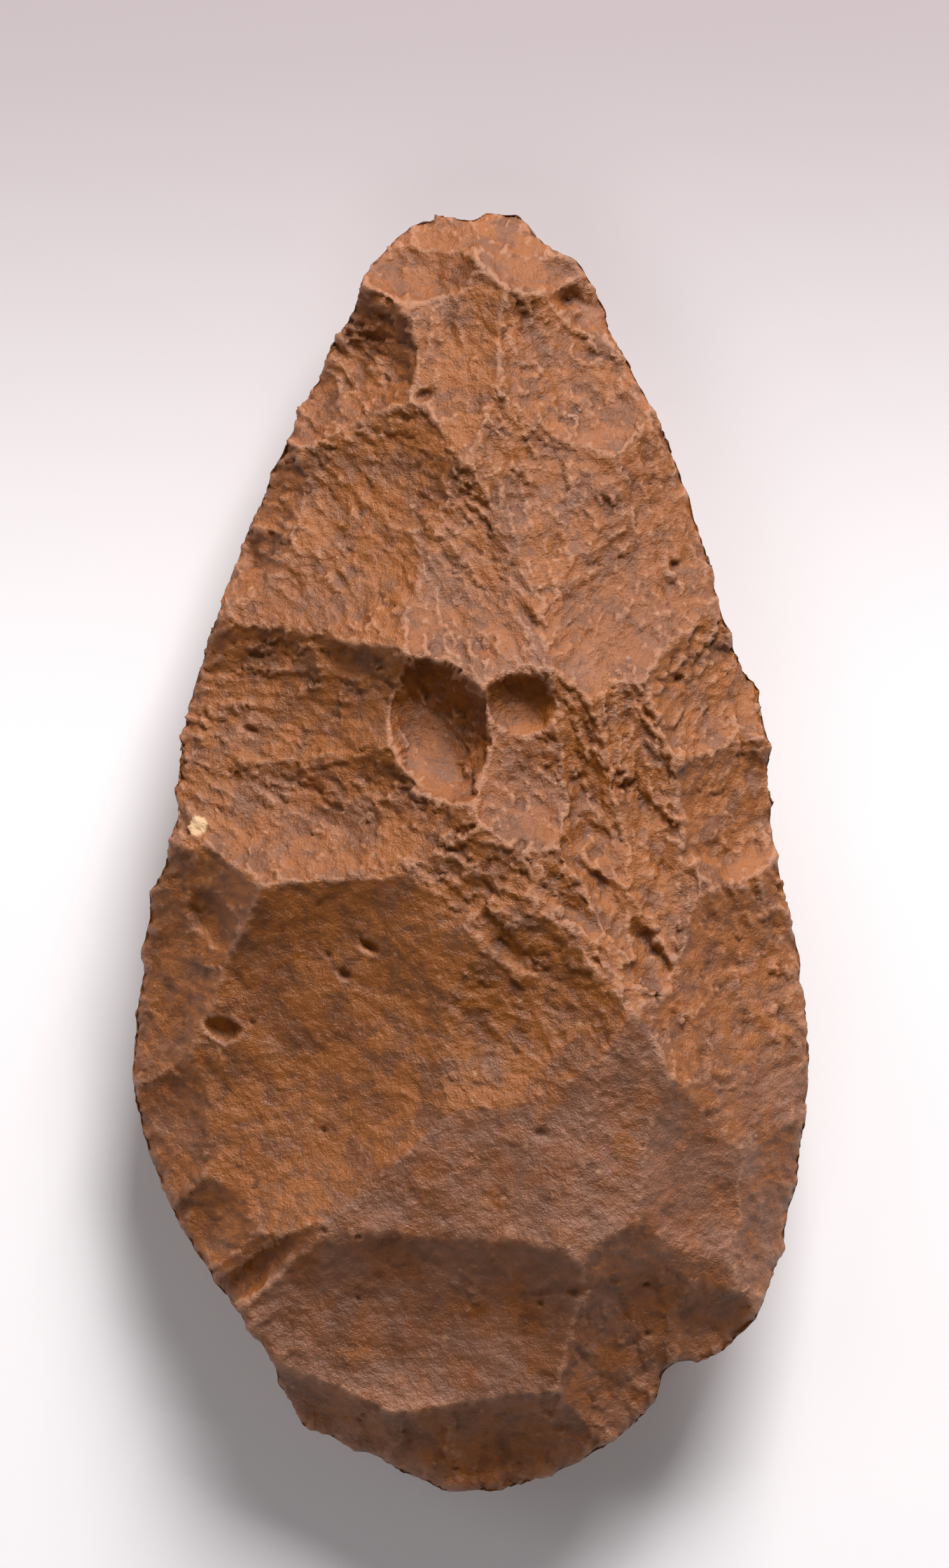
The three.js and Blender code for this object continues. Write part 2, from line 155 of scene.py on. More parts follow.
# scars of the worked face: middle x, y and height above the edge, slope along x and y, half length,
# half width, turn in degrees, depth of the dish at its rim, and its wall (2 a bowl, 4 a flat floor)
SCARS = [
    # the tip
    (-6.6, 82, 1.6, 0.22, -0.36, 6.4, 4.8, -5, 2.6, 2.6),
    (-5, 87.5, -0.4, 0.1, -0.5, 8, 3.5, 20, 1.4, 2),
    (6, 88, -0.4, -0.12, -0.62, 7.5, 4.2, -28, 1.5, 2),
    (8, 82.5, 3.2, -0.3, -0.42, 12, 3, -25, 1.5, 2),
    (14.5, 77, 2.2, -0.62, -0.2, 5, 3, -35, 1.8, 2),
    (12, 69, 5.6, -0.4, -0.2, 13.5, 11, -50, 3.6, 2.6),
    (-14.5, 69, 2.3, 0.48, -0.1, 9, 7, 62, 3, 2.4),
    (-21, 64, 0.4, 0.6, -0.35, 5, 3.6, 60, 1.4, 2),
    (-3, 70, 7.6, 0.12, -0.26, 6, 11, 0, 1.2, 2),
    # below the tip
    (-16, 47, 6.6, 0.34, -0.2, 19, 16, 50, 4.6, 2.4),
    (-30, 42, 0.6, 0.75, -0.3, 5, 4.6, 40, 2.2, 2),
    (-27.5, 49.5, 0.8, 0.62, -0.2, 6, 4.4, 40, 1.6, 2),
    (-22, 36, 7.8, 0.4, -0.34, 15, 9, 30, 2.2, 2),
    (12, 46, 11.6, -0.18, -0.24, 20, 14, -62, 2.8, 2),
    (25, 45, 7.8, -0.6, -0.2, 16, 9, -70, 2.2, 2),
    (18.5, 31, 13.2, -0.36, -0.4, 13, 10.5, 60, 2.4, 2),
    (1, 34, 14.6, 0.08, -0.34, 15, 11, -55, 2.8, 2),
    # the middle, from the left edge over to the right one
    (-29, 20.5, 5, 0.43, -0.1, 20, 10.8, -10, 3, 2.6),
    (-20, 6, 10.8, 0.42, -0.2, 22, 9, -12, 2.6, 2),
    (-5, 16.8, 12.2, 0.08, -0.1, 8.6, 6.6, -72, 4.2, 2.6),
    (6.8, 20, 15.6, -0.05, -0.1, 4.6, 4.2, 0, 2.6, 2.6),
    (8, 9.5, 17.6, -0.05, -0.18, 10, 8, -40, 2.6, 2),
    (34, 23.5, 6.2, -0.62, -0.1, 8.6, 9.5, 0, 2.8, 3),
    (36, 7, 7, -0.72, -0.04, 9.6, 7.2, 90, 2.2, 3.4),
    (37, -13, 9, -0.8, 0.05, 16, 12, 90, 3, 2),
    (17, 6, 17, -0.22, -0.08, 15, 5, -72, 1.8, 2),
    (24, 4, 15, -0.45, -0.1, 17, 5, -78, 1.4, 2),
    (-2, -8, 19.8, 0.1, -0.1, 12, 9, -42, 1.5, 2),
    (17, -9, 20.6, -0.16, -0.1, 15, 6, -48, 1.6, 2),
    # the broad lower left scars
    (-18, -24.5, 11.2, 0.36, 0.12, 38, 23.5, 31, 4.6, 2.8),
    (5, -25.5, 17.6, 0.17, 0.05, 19, 13, 36, 2.8, 2.4),
    (-40, -16, 2.4, 0.8, 0.04, 16, 7, 68, 2.2, 2),
    (-40, -37, 1.2, 0.68, 0.14, 12, 8, 72, 2.6, 2),
    (-36, -51, 2.4, 0.62, 0.16, 8, 5.5, 35, 2, 2),
    (2, -46, 16.2, 0.2, 0.11, 40, 13, 33, 1.6, 2),
    (-31, -56, 6.6, 0.42, 0.34, 11, 3.2, 30, 0.8, 2),
    (22, -42, 18.9, -0.02, 0.12, 17, 9, 74, 1.3, 2),
    # lower right edge
    (40, -31, 8.6, -0.8, 0.06, 11, 9, 80, 1.8, 2),
    (33, -50, 11.4, -0.52, 0.14, 11, 8.5, 80, 1.2, 2),
    (42.5, -50, 3.6, -0.9, 0.22, 11, 5.5, 84, 1.3, 2),
    # the butt
    (-7, -68, 7.3, 0.15, 0.22, 28, 13.4, -8, 2.8, 2.6),
    (-19, -81, -0.6, 0.3, 0.5, 8, 3.6, -28, 1.2, 2),
    (0, -85, 0.4, 0.02, 0.5, 15, 5.4, 4, 1.4, 2),
    (28, -64, 9.7, -0.36, 0.24, 12, 7, 3, 1, 2),
    (30, -68, 5, -0.36, 0.34, 8, 4.6, 12, 1.4, 2),
    (20.5, -74.5, 4.9, -0.32, 0.32, 11, 6.5, 68, 1.6, 2),
]

# chips, flutes and hollows inside the scars: middle x and y, half length, half width, turn, depth,
# wall, and how much deeper the far end is than the near one
CHIPS = [
    # flutes running down to the highest point, and the lip that ends them
    (22, -10.2, 11, 2.6, -53, 1.2, 2, 0.5),
    (15.8, 6, 9, 3.2, -76, 1, 2, 0.3),
    (13, -5, 9, 2, -56, 0.9, 2, 0.3),
    (24.4, -17.2, 4.4, 2.1, -8, 0.9, 4, 0),
    (26.4, -24, 6, 2.4, 58, 0.7, 2, 0),
    # hollows beside the flutes
    (-1, -6.6, 4.4, 2.6, 50, 0.9, 2, 0),
    (4.4, -12.4, 5.6, 2.4, -34, 0.9, 2, 0.3),
    (27.4, -3, 8.4, 2.1, -80, 0.6, 2, 0),
    (33, -0.4, 4, 1.6, -14, 0.7, 4, 0),
    # notch and steps of the upper scars
    (9, 32.4, 3, 1.1, -38, 1, 2, 0),
    (-14.8, 70.6, 3.6, 2.6, 60, 1, 3, 0),
    (-10.8, 67, 2.8, 2.3, 20, 0.9, 3, 0),
    (13.4, 77.7, 2.6, 1.7, -30, 0.9, 2, 0),
    (-31, 41.6, 3, 1.6, 100, 0.9, 2, 0),
    (-16.6, 26.6, 8, 2, -34, 0.8, 2, 0),
    # left edge: a stepped flap, a deep hole, and the groove above the butt
    (-36.4, -9.4, 6, 2.3, -58, 1.2, 3, 0),
    (-34.6, -24.6, 2.8, 1.6, -38, 1.8, 2, 0),
    (-29.6, -58.4, 10.4, 2.5, 33, 1.8, 2, -0.4),
]

# rows of scars round the under face: how many, how far in from the rim, height of the middle,
# slope up to the rim, half length towards the rim, half width along it, depth
UNDER_ROWS = [
    (17, 10, 9.5, 0.5, 11, 13, 2.0),
    (11, 22, 4.6, 0.3, 15, 14, 1.8),
]

# the rim: a smooth closed curve through the outline, even steps along it, with small bites
nodes = np.array(OUTLINE, float)
curve = []
for i in range(len(nodes)):
    p = [nodes[(i + k) % len(nodes)] for k in (-1, 0, 1, 2)]
    gaps = [math.sqrt(np.linalg.norm(p[k + 1] - p[k])) for k in range(3)]
    turn_in = (p[1] - p[0]) / gaps[0] - (p[2] - p[0]) / (gaps[0] + gaps[1]) + (p[2] - p[1]) / gaps[1]
    turn_out = (p[2] - p[1]) / gaps[1] - (p[3] - p[1]) / (gaps[1] + gaps[2]) + (p[3] - p[2]) / gaps[2]
    turn_in, turn_out = turn_in * gaps[1], turn_out * gaps[1]
    t = np.linspace(0, 1, 120, endpoint=False)[:, None]
    curve.append((2 * t ** 3 - 3 * t ** 2 + 1) * p[1] + (t ** 3 - 2 * t ** 2 + t) * turn_in
                 + (3 * t ** 2 - 2 * t ** 3) * p[2] + (t ** 3 - t ** 2) * turn_out)
curve = np.concatenate(curve)
curve = np.concatenate([curve, curve[:1]])
walked = np.concatenate([[0], np.cumsum(np.linalg.norm(np.diff(curve, axis=0), axis=1))])
rim_length = walked[-1]


def rim_at(share):
    """Points of the rim and the directions inward, at shares 0 to 1 of the way round."""
    s = (share % 1) * rim_length
    spot = np.stack([np.interp(s, walked, curve[:, k]) for k in (0, 1)], 1)
    ahead = np.stack([np.interp((s + 0.05) % rim_length, walked, curve[:, k]) for k in (0, 1)], 1)
    behind = np.stack([np.interp((s - 0.05) % rim_length, walked, curve[:, k]) for k in (0, 1)], 1)
    course = (ahead - behind) / np.linalg.norm(ahead - behind, axis=1)[:, None]
    inward = np.stack([course[:, 1], -course[:, 0]], 1)
    bite = np.abs(np.sin(math.pi * s / BITE_LENGTH + 1.3 * np.sin(s / 19)))
    deep = BITE * (0.6 + 0.4 * np.sin(s / 13 + 1))
    nick = 0.1 * np.sin(1.1 * s + 3 * np.sin(0.23 * s)) + 0.07 * np.sin(2.9 * s + 5 * np.sin(0.37 * s))
    return spot + inward * (deep * (bite - 0.45) + nick)[:, None], inward


def swell(x, y, i):
    """Gentle unevenness of scar number i, which also makes the ridges wander."""
    u = x + 2.2 * np.sin(0.19 * y + i)
    v = y + 2.2 * np.sin(0.23 * x + 2 * i)
    return (0.15 * (np.sin(0.36 * u + 0.2 * v + 2.4 * i) + np.sin(0.4 * v - 0.17 * u + 4.1 * i))
            + 0.03 * (np.sin(0.95 * u - 0.6 * v + 1.7 * i) + np.sin(0.5 * u + 1.05 * v + 3.3 * i)))


def scar_heights(x, y):
    """Height of every scar of the worked face above the ground, one row a scar."""
    rows = []
    for i, (cx, cy, cz, gx, gy, a, b, turn, depth, wall) in enumerate(SCARS):
        c, s = math.cos(math.radians(turn)), math.sin(math.radians(turn))
        dx, dy = x - cx, y - cy
        reach = np.hypot((dx * c + dy * s) / a, (dy * c - dx * s) / b)
        rows.append(EDGE_HEIGHT + cz + gx * dx + gy * dy + depth * reach ** wall + swell(x, y, i))
    return np.array(rows)


def chip_depth(x, y, chips):
    """How deep the deepest chip cuts at each place."""
    deepest = np.zeros_like(x)
    for cx, cy, a, b, turn, depth, wall, tilt in chips:
        c, s = math.cos(math.radians(turn)), math.sin(math.radians(turn))
        dx = x - cx + 0.5 * np.sin(0.5 * y + 0.3 * x) + 0.15 * np.sin(1.2 * y - 0.5 * x)
        dy = y - cy + 0.5 * np.sin(0.5 * x - 0.3 * y) + 0.15 * np.sin(1.2 * x + 0.5 * y)
        length, width = (dx * c + dy * s) / a, (dy * c - dx * s) / b
        reach = np.minimum(np.hypot(length, width), 1)
        deepest = np.maximum(deepest, depth * (1 - reach ** wall) * (1 + tilt * length))
    return deepest


# how each scar's surface runs: course of the blow in degrees, how deeply it is fluted, how much
# grey patina it has, and how orange it is
FINISH = [
    (-60, 0.6, 0.2, 0.4), (-80, 0.5, 0.2, 0.4), (-110, 0.5, 0.2, 0.4), (-95, 0.5, 0.2, 0.4),
    (-140, 0.6, 0.2, 0.4), (-62, 0.7, 0.25, 0.5), (-35, 0.9, 0.1, 0.4), (-20, 0.8, 0.1, 0.5),
    (-85, 0.5, 0.2, 0.5),
    (-48, 0.7, 0.1, 0.9), (-20, 0.8, 0.1, 0.5), (-20, 0.8, 0.1, 0.5), (-50, 0.6, 0.2, 0.4),
    (-62, 1.0, 0.3, 0.6), (-80, 0.7, 0.15, 0.5), (-115, 0.6, 0.3, 0.4), (-62, 0.9, 0.4, 0.5),
    (-12, 0.7, 0.1, 0.8), (-25, 0.7, 0.2, 0.6), (-62, 0.7, 0.3, 0.4), (-70, 0.5, 0.2, 0.6),
    (-50, 0.8, 0.4, 0.4), (-110, 0.9, 0.2, 0.9), (-100, 0.7, 0.1, 0.9), (-70, 0.6, 0.2, 1.0),
    (-72, 1.0, 0.1, 0.9), (-78, 1.0, 0.1, 0.9), (-42, 1.0, 0.3, 0.7), (-52, 1.0, 0.1, 1.0),
    (-35, 0.12, 0.15, 1.0), (-42, 0.45, 0.2, 0.9), (-20, 0.3, 0.2, 0.9), (-50, 0.25, 0.5, 0.6),
    (30, 0.3, 0.2, 0.8), (35, 0.18, 0.8, 0.4), (40, 0.3, 0.3, 0.6), (75, 0.18, 0.8, 0.4),
    (-150, 0.4, 0.6, 0.5), (-160, 0.18, 0.8, 0.4), (-165, 0.3, 0.6, 0.5),
    (80, 0.15, 0.8, 0.4), (60, 0.3, 0.3, 0.6), (90, 0.3, 0.4, 0.5), (150, 0.2, 0.7, 0.4),
    (140, 0.25, 0.5, 0.5), (120, 0.3, 0.5, 0.5),
]

# thin marks left by the force of the blows, and small holes: middle x and y, half length, half
# width, turn, and depth, which is below zero for what stands up
STROKES = [
    # the fluted slope above the highest point
    (16, -2.5, 7.5, 1.3, -50, 0.9), (24.5, -12.5, 6, 1.1, -57, 0.8), (19.5, -3.5, 7.5, 1, -45, -0.5),
    (26, -12, 6.5, 0.9, -62, -0.5), (11, -3, 5, 1, -58, -0.5), (13.5, -8, 5, 1.2, -48, 0.6),
    (17, -12, 5, 1.1, -40, -0.4), (20, 7, 5, 0.9, -80, -0.35), (18, 10, 4, 1, -75, 0.4),
    (25.5, 9, 5.5, 0.9, -72, -0.5), (23.5, 8, 5, 0.9, -78, 0.5), (26, -3, 5, 0.9, -88, 0.5),
    (31, -4.5, 3.6, 0.8, -86, 0.5), (28.6, -5, 4, 0.8, -86, -0.3), (33.2, -5, 3.4, 0.7, -86, -0.3),
    (36, -5, 3.2, 0.8, -85, 0.4), (8.2, -4, 5.6, 1.5, -58, 0.5),
    # the highest point: its lip, the rib that runs down from it and the groove beside that
    (24.6, -19.2, 4.4, 0.5, -4, -0.5), (26.3, -17.5, 2.6, 0.45, -20, -0.4), (23, -20.6, 3, 0.8, 0, 0.4),
    (32, -22.5, 4, 0.6, 58, -0.5), (28.4, -30, 3.6, 0.5, 75, -0.45), (32.4, -28.6, 2.6, 0.8, -70, 0.6),
    (33.3, -27.5, 2, 0.4, -65, -0.4),
    # lower right
    (41, -41, 4.6, 0.4, 26, -0.3), (37.5, -50, 7.5, 0.4, 88, -0.25), (33, -38, 5, 0.7, 80, 0.3),
    # the groove above the butt and the holes in it
    (10.8, -61.6, 3.2, 0.9, 0, 0.5), (15, -61, 2, 1.4, 0, 0.8),
    # the tip
    (-2.8, 73, 3.6, 1, -80, 0.5), (-10.2, 79.6, 3.4, 0.5, -40, -0.4),
    # small holes where fossils have weathered out
    (-6.9, 64.2, 1.9, 1, 30, 1.3), (13.5, 77.5, 1.1, 0.8, 0, 1), (28.5, 40.5, 1.3, 0.9, 20, 1),
    (28.5, 24.5, 1.2, 0.9, 0, 1), (6.5, 1.2, 1.3, 0.9, 60, 1), (18, -15, 1.3, 0.8, -30, 1),
    (-14.4, -13.4, 1.5, 1, -20, 1.4), (-17.5, -17, 1.1, 0.8, 20, 1), (10, -39, 1.2, 0.7, 0, 0.8),
    (-31, 17, 1.2, 0.8, 10, 0.9), (-33.5, 10.5, 1.1, 0.8, -30, 0.9),
    # the pebble at the left edge stands out a little
    (-38.5, 4, 2, 1.7, 60, -0.8),
]


def stroke_depth(x, y):
    """Sum of the thin marks and holes at each place."""
    total = np.zeros_like(x)
    for cx, cy, a, b, turn, depth in STROKES:
        c, s = math.cos(math.radians(turn)), math.sin(math.radians(turn))
        dx = x - cx + 0.35 * np.sin(0.9 * y + 0.5 * cx)
        dy = y - cy + 0.35 * np.sin(0.9 * x + 0.5 * cy)
        reach = ((dx * c + dy * s) / a) ** 2 + ((dy * c - dx * s) / b) ** 2
        total += depth * np.clip(1 - reach, 0, 1) ** 1.5
    return total


def worked_face(x, y):
    """Height of the worked face: the lowest scar, with its ridges rounded, less chips and marks."""
    rows = scar_heights(x, y)
    low = rows.min(0)
    soft = low - RIDGE_WEAR * np.log(np.exp((low - rows) / RIDGE_WEAR).sum(0))
    return soft - chip_depth(x, y, CHIPS) - stroke_depth(x, y), rows.argmin(0)


def under_heights(x, y):
    """Height of the flat remnant and of every scar of the under face, one row each."""
    rows = [np.zeros_like(x)]
    for row, (count, inset, z, slope, a, b, depth) in enumerate(UNDER_ROWS):
        for k in range(count):
            wave = math.sin(2.4 * k + row)
            (spot,), (inward,) = rim_at(np.array([(k + 0.5 * row + 0.22 * wave) / count]))
            cx, cy = spot + inward * inset * (1 + 0.15 * wave)
            lean = 0.35 * math.sin(1.7 * k + 2 * row)
            ox = -inward[0] * math.cos(lean) - inward[1] * math.sin(lean)
            oy = inward[0] * math.sin(lean) - inward[1] * math.cos(lean)
            out = (x - cx) * ox + (y - cy) * oy
            side = (x - cx) * oy - (y - cy) * ox
            rows.append(z + 0.5 * wave + slope * out - depth * ((out / a) ** 2 + (side / b) ** 2)
                        + swell(x, y, 50 + 20 * row + k))
    return np.array(rows)


# even steps along the rim, and four times as many to measure from
rim, inward = rim_at(np.arange(RIM_POINTS) / RIM_POINTS)
fine_rim, _ = rim_at(np.arange(4 * RIM_POINTS) / (4 * RIM_POINTS))
rim_tree = KDTree(len(fine_rim))
for i, (x, y) in enumerate(fine_rim):
    rim_tree.insert((x, y, 0), i)
rim_tree.balance()


def rim_gap(points):
    """Distance from each point to the rim, and the rim sample that is nearest."""
    found = [rim_tree.find((x, y, 0)) for x, y in points]
    return np.array([f[2] for f in found]), np.array([f[1] for f in found])


def inside(points):
    """Whether each point is inside the rim."""
    x, y = points[:, 0], points[:, 1]
    odd = np.zeros(len(points), bool)
    for (ax, ay), (bx, by) in zip(rim, np.roll(rim, -1, axis=0)):
        if ay != by:
            odd ^= ((ay > y) != (by > y)) & (x < ax + (y - ay) / (by - ay) * (bx - ax))
    return odd


def spread(step, rings):
    """Points of one face: the rim, rings inside it where the edge is worn, the rest; its triangles."""
    points = [rim]
    for ring, (gap, skip) in enumerate(rings):
        points.append((rim + inward * gap)[ring % skip::skip])
    margin = rings[-1][0] + 0.6 * step
    wide, long = FIELD
    rows = np.arange(-long, long, 0.866 * step)
    grid = np.array([(x, y) for n, y in enumerate(rows)
                     for x in np.arange(-wide + (n % 2) * 0.5 * step, wide, step)])
    grid += 0.12 * step * np.sin(grid @ np.array([[12.9, 39.3], [78.2, -11.1]]))
    grid = grid[inside(grid)]
    gap, _ = rim_gap(grid)
    points.append(grid[gap > margin])
    points = np.concatenate(points)
    _, _, faces, origin, _, _ = delaunay_2d_cdt(
        [Vector(p) for p in points], [], [list(range(RIM_POINTS))], 1, 1e-6)
    origin = [o[0] for o in origin]
    return points, [[origin[i] for i in f] for f in faces]


def face_up(points, faces, sign):
    """Turn every triangle to the same side."""
    f = np.array(faces)
    a, b, c = points[f[:, 0]], points[f[:, 1]], points[f[:, 2]]
    turn = (b[:, 0] - a[:, 0]) * (c[:, 1] - a[:, 1]) - (b[:, 1] - a[:, 1]) * (c[:, 0] - a[:, 0])
    f[turn * sign < 0] = f[turn * sign < 0][:, ::-1]
    return f


def edge_chips(walk, gap, seed):
    """Small scars along the rim where the edge was trimmed and later crushed."""
    cut = np.zeros_like(gap)
    large, small = (4.3, 3.0, 4.2, 0.5), (2.6, 1.7, 2.2, 0.35)
    for spacing, width, reach, depth in (large, small):
        for shift in (0, 1):
            n = np.floor(walk / spacing) + shift
            change = np.sin(12.9 * n + seed) * 0.5 + 0.5
            middle = (n + 0.35 * np.sin(7.7 * n + 2 * seed)) * spacing
            side = (walk - middle) / (width * (0.6 + 0.5 * change))
            inward = gap / (reach * (0.4 + 0.9 * change))
            cut = np.maximum(cut, depth * (0.3 + change) * np.clip(1 - side ** 2 - inward ** 2, 0, 1))
    return cut


def worn(gap):
    """How far a face is drawn to the middle of the edge, 1 at the rim, round like a worn edge."""
    return 1 - np.sqrt(1 - np.clip(1 - gap / EDGE_ROUND, 0, 1) ** 2)


# a ring is so far in from the rim, and has every point of the rim or every second one
top, top_faces = spread(TOP_STEP, [(0.05, 1), (0.2, 1), (0.45, 1), (0.8, 1), (1.2, 1)])
low, low_faces = spread(UNDER_STEP, [(0.05, 1), (0.2, 1), (0.5, 1), (1.0, 2)])

gap, near = rim_gap(top)
top_z, scar = worked_face(*top.T)
rim_walk = near / (4 * RIM_POINTS) * rim_length
top_z -= 0.5 * EDGE_THICKNESS * worn(gap) + edge_chips(rim_walk, gap, 0)

rim_top, _ = worked_face(*fine_rim.T)
rows = under_heights(*fine_rim.T)
rim_under = rows.max(0)
low_gap, near = rim_gap(low)
lift = (rim_top - EDGE_THICKNESS - rim_under)[near] * np.clip(1 - low_gap / UNDER_BLEND, 0, 1) ** 2
rows = under_heights(*low.T)
under_scar = rows.argmax(0)
rim_walk = near / (4 * RIM_POINTS) * rim_length
low_z = (rows.max(0) + lift + 0.5 * EDGE_THICKNESS * worn(low_gap)
         + edge_chips(rim_walk, low_gap, 9) * (low_gap > 0))

# how the stone was split: distance along and across the course of the blow, which fans out from a
# spot BLOW_BACK half lengths behind the scar's middle, and the finish there
BLOW_BACK = 1.8
APART = 7.3  # keeps the pattern of one scar from running on into the next
flow = np.zeros((len(top) + len(low) - RIM_POINTS, 3))
look = np.zeros((len(flow), 3))
for i, (course, flute, patina, warmth) in enumerate(FINISH):
    mine = np.flatnonzero(scar == i)
    cx, cy, length = SCARS[i][0], SCARS[i][1], BLOW_BACK * SCARS[i][5]
    sx = cx - length * math.cos(math.radians(course))
    sy = cy - length * math.sin(math.radians(course))
    away = top[mine] - (sx, sy)
    angle = np.arctan2(away[:, 1], away[:, 0]) - math.radians(course)
    angle = (angle + math.pi) % (2 * math.pi) - math.pi
    flow[mine] = np.column_stack([np.hypot(*away.T), angle * length, np.full(len(mine), APART * i)])
    look[mine] = flute, patina, warmth
inner = np.arange(RIM_POINTS, len(low))
flow[len(top):] = np.column_stack([low_gap, rim_walk, 100 + APART * under_scar])[inner]
look[len(top):, 0] = 0.5
look[len(top):, 1] = 0.5 + 0.35 * np.sin(2.7 * under_scar[inner])
look[len(top):, 2] = 0.6 + 0.3 * np.sin(1.9 * under_scar[inner])

top_faces = face_up(top, top_faces, 1)
low_faces = face_up(low, low_faces, -1)
low_faces[low_faces >= RIM_POINTS] += len(top) - RIM_POINTS
points = np.concatenate([np.column_stack([top, top_z]),
                         np.column_stack([low, low_z])[RIM_POINTS:]])
points[:, :2] -= (rim.min(0) + rim.max(0)) / 2

stone_mesh = bpy.data.meshes.new("chert axe")
stone_mesh.from_pydata(points * MM, [], np.concatenate([top_faces, low_faces]).tolist())
for name, values in [("flow", flow * MM), ("look", look)]:
    store = stone_mesh.attributes.new(name, "FLOAT_VECTOR", "POINT")
    store.data.foreach_set("vector", values.astype(np.float32).ravel())
stone_mesh.polygons.foreach_set("use_smooth", [True] * len(stone_mesh.polygons))
stone_mesh.update()
axe = bpy.data.objects.new("chert_axe", stone_mesh)
bpy.context.collection.objects.link(axe)

# chert is a fine-grained quartz rock. Long burial has given it a waxy skin that catches the light
# on every grain, worn ridges paler and pinker than the stone, and a grey-purple bloom in patches;
# the ridges also carry a painted highlight and the hollows a painted shade
chert = bpy.data.materials.new("weathered chert")
chert.use_nodes = True
tree = chert.node_tree
tree.nodes.clear()
place = add(tree, "ShaderNodeTexCoord").outputs["Object"]
finish = add(tree, "ShaderNodeAttribute", {"attribute_name": "look"})
finish = add(tree, "ShaderNodeSeparateXYZ", inputs={0: finish.outputs["Vector"]})
cavity = add(tree, "ShaderNodeAttribute", {"attribute_name": "cavity"}).outputs["Fac"]

# broad cloudy change of colour, 18 mm across, and a finer one of 4 mm
clouds = add(tree, "ShaderNodeTexNoise",
             inputs={"Vector": place, "Scale": 1 / (18 * MM), "Detail": 5, "Roughness": 0.6})
mottle = add(tree, "ShaderNodeTexNoise",
             inputs={"Vector": place, "Scale": 1 / (4 * MM), "Detail": 6, "Roughness": 0.65,
                     "Distortion": 0.4})
warm = add(tree, "ShaderNodeMapRange",
           inputs={"Value": clouds.outputs[0], "From Min": 0.35, "From Max": 0.65})
warm = add(tree, "ShaderNodeMath", {"operation": "MULTIPLY_ADD"},
           {0: warm.outputs[0], 1: 0.5, 2: finish.outputs["Z"]})
body_tone = add(tree, "ShaderNodeMix", {"data_type": "RGBA"},
                {0: warm.outputs[0], 6: linear("#82471e"), 7: linear("#915012")})
deep = add(tree, "ShaderNodeMapRange",
           inputs={"Value": mottle.outputs[0], "From Min": 0.4, "From Max": 0.55, "To Min": 0.25})
mottled = add(tree, "ShaderNodeMix", {"data_type": "RGBA"},
              {0: deep.outputs[0], 6: linear("#65381a"), 7: body_tone.outputs[2]})

# grey-purple bloom in patches of about 6 mm, stronger on the older scars
bloom = add(tree, "ShaderNodeTexNoise",
            inputs={"Vector": place, "Scale": 1 / (6 * MM), "Detail": 5, "Roughness": 0.6})
bloom = add(tree, "ShaderNodeMath", {"operation": "MULTIPLY_ADD"},
            {0: finish.outputs["Y"], 1: 0.35, 2: bloom.outputs[0]})
bloom = add(tree, "ShaderNodeMapRange",
            inputs={"Value": bloom.outputs[0], "From Min": 0.62, "From Max": 0.86, "To Max": 0.6})
bloomed = add(tree, "ShaderNodeMix", {"data_type": "RGBA"},
              {0: bloom.outputs[0], 6: mottled.outputs[2], 7: linear("#8a604c")})

# worn edges and ribs paler, partly from wear and partly a painted highlight; hollows darker and redder, a
# painted shade
# painted highlight as well as wear: the more a place stands above its neighbourhood, the paler and pinker
ridge_wear_and_highlight = add(tree, "ShaderNodeMapRange",
            inputs={"Value": cavity, "From Min": -0.06, "From Max": -0.22, "To Max": 0.4})
worn_and_highlit_tone = add(tree, "ShaderNodeMix", {"data_type": "RGBA"},
                {0: ridge_wear_and_highlight.outputs[0], 6: bloomed.outputs[2], 7: linear("#bd8868")})
# painted shade: the deeper a place lies below its neighbourhood, the darker brown it is painted
painted_hollow_shade = add(tree, "ShaderNodeMapRange",
           inputs={"Value": cavity, "From Min": 0.08, "From Max": 0.28, "To Max": 0.35})
hollow_shaded = add(tree, "ShaderNodeMix", {"data_type": "RGBA"},
            {0: painted_hollow_shade.outputs[0], 6: worn_and_highlit_tone.outputs[2], 7: linear("#4f2a14")})

# pale specks of fossil shell, up to 1.5 mm across, in half of the cells of 3.4 mm
specks = add(tree, "ShaderNodeTexVoronoi", inputs={"Vector": place, "Scale": 1 / (3.4 * MM)})
chance = add(tree, "ShaderNodeSeparateXYZ", inputs={0: specks.outputs["Color"]})
size = add(tree, "ShaderNodeMapRange",
           inputs={"Value": chance.outputs["Y"], "From Min": 0.45, "From Max": 1.0,
                   "To Min": 0.001, "To Max": 0.22})
speck = add(tree, "ShaderNodeMapRange", {"interpolation_type": "SMOOTHSTEP"},
            {"Value": specks.outputs["Distance"], "From Min": size.outputs[0], "From Max": 0.0,
             "To Max": 0.6})
speckled = add(tree, "ShaderNodeMix", {"data_type": "RGBA"},
               {0: speck.outputs[0], 6: hollow_shaded.outputs[2], 7: linear("#c49468")})

# one cream pebble, 3 mm across, held in the stone at the left edge
pebble_spot = Vector((-38.5, 4, worked_face(np.array([-38.5]), np.array([4.0]))[0][0])) * MM
pebble = add(tree, "ShaderNodeVectorMath", {"operation": "DISTANCE"}, {0: place, 1: pebble_spot})
pebble = add(tree, "ShaderNodeMapRange", {"interpolation_type": "SMOOTHSTEP"},
             {"Value": pebble.outputs["Value"], "From Min": 1.9 * MM, "From Max": 1.3 * MM,
              "To Max": 0.85})
pebbled = add(tree, "ShaderNodeMix", {"data_type": "RGBA"},
              {0: pebble.outputs[0], 6: speckled.outputs[2], 7: linear("#d9b184")})

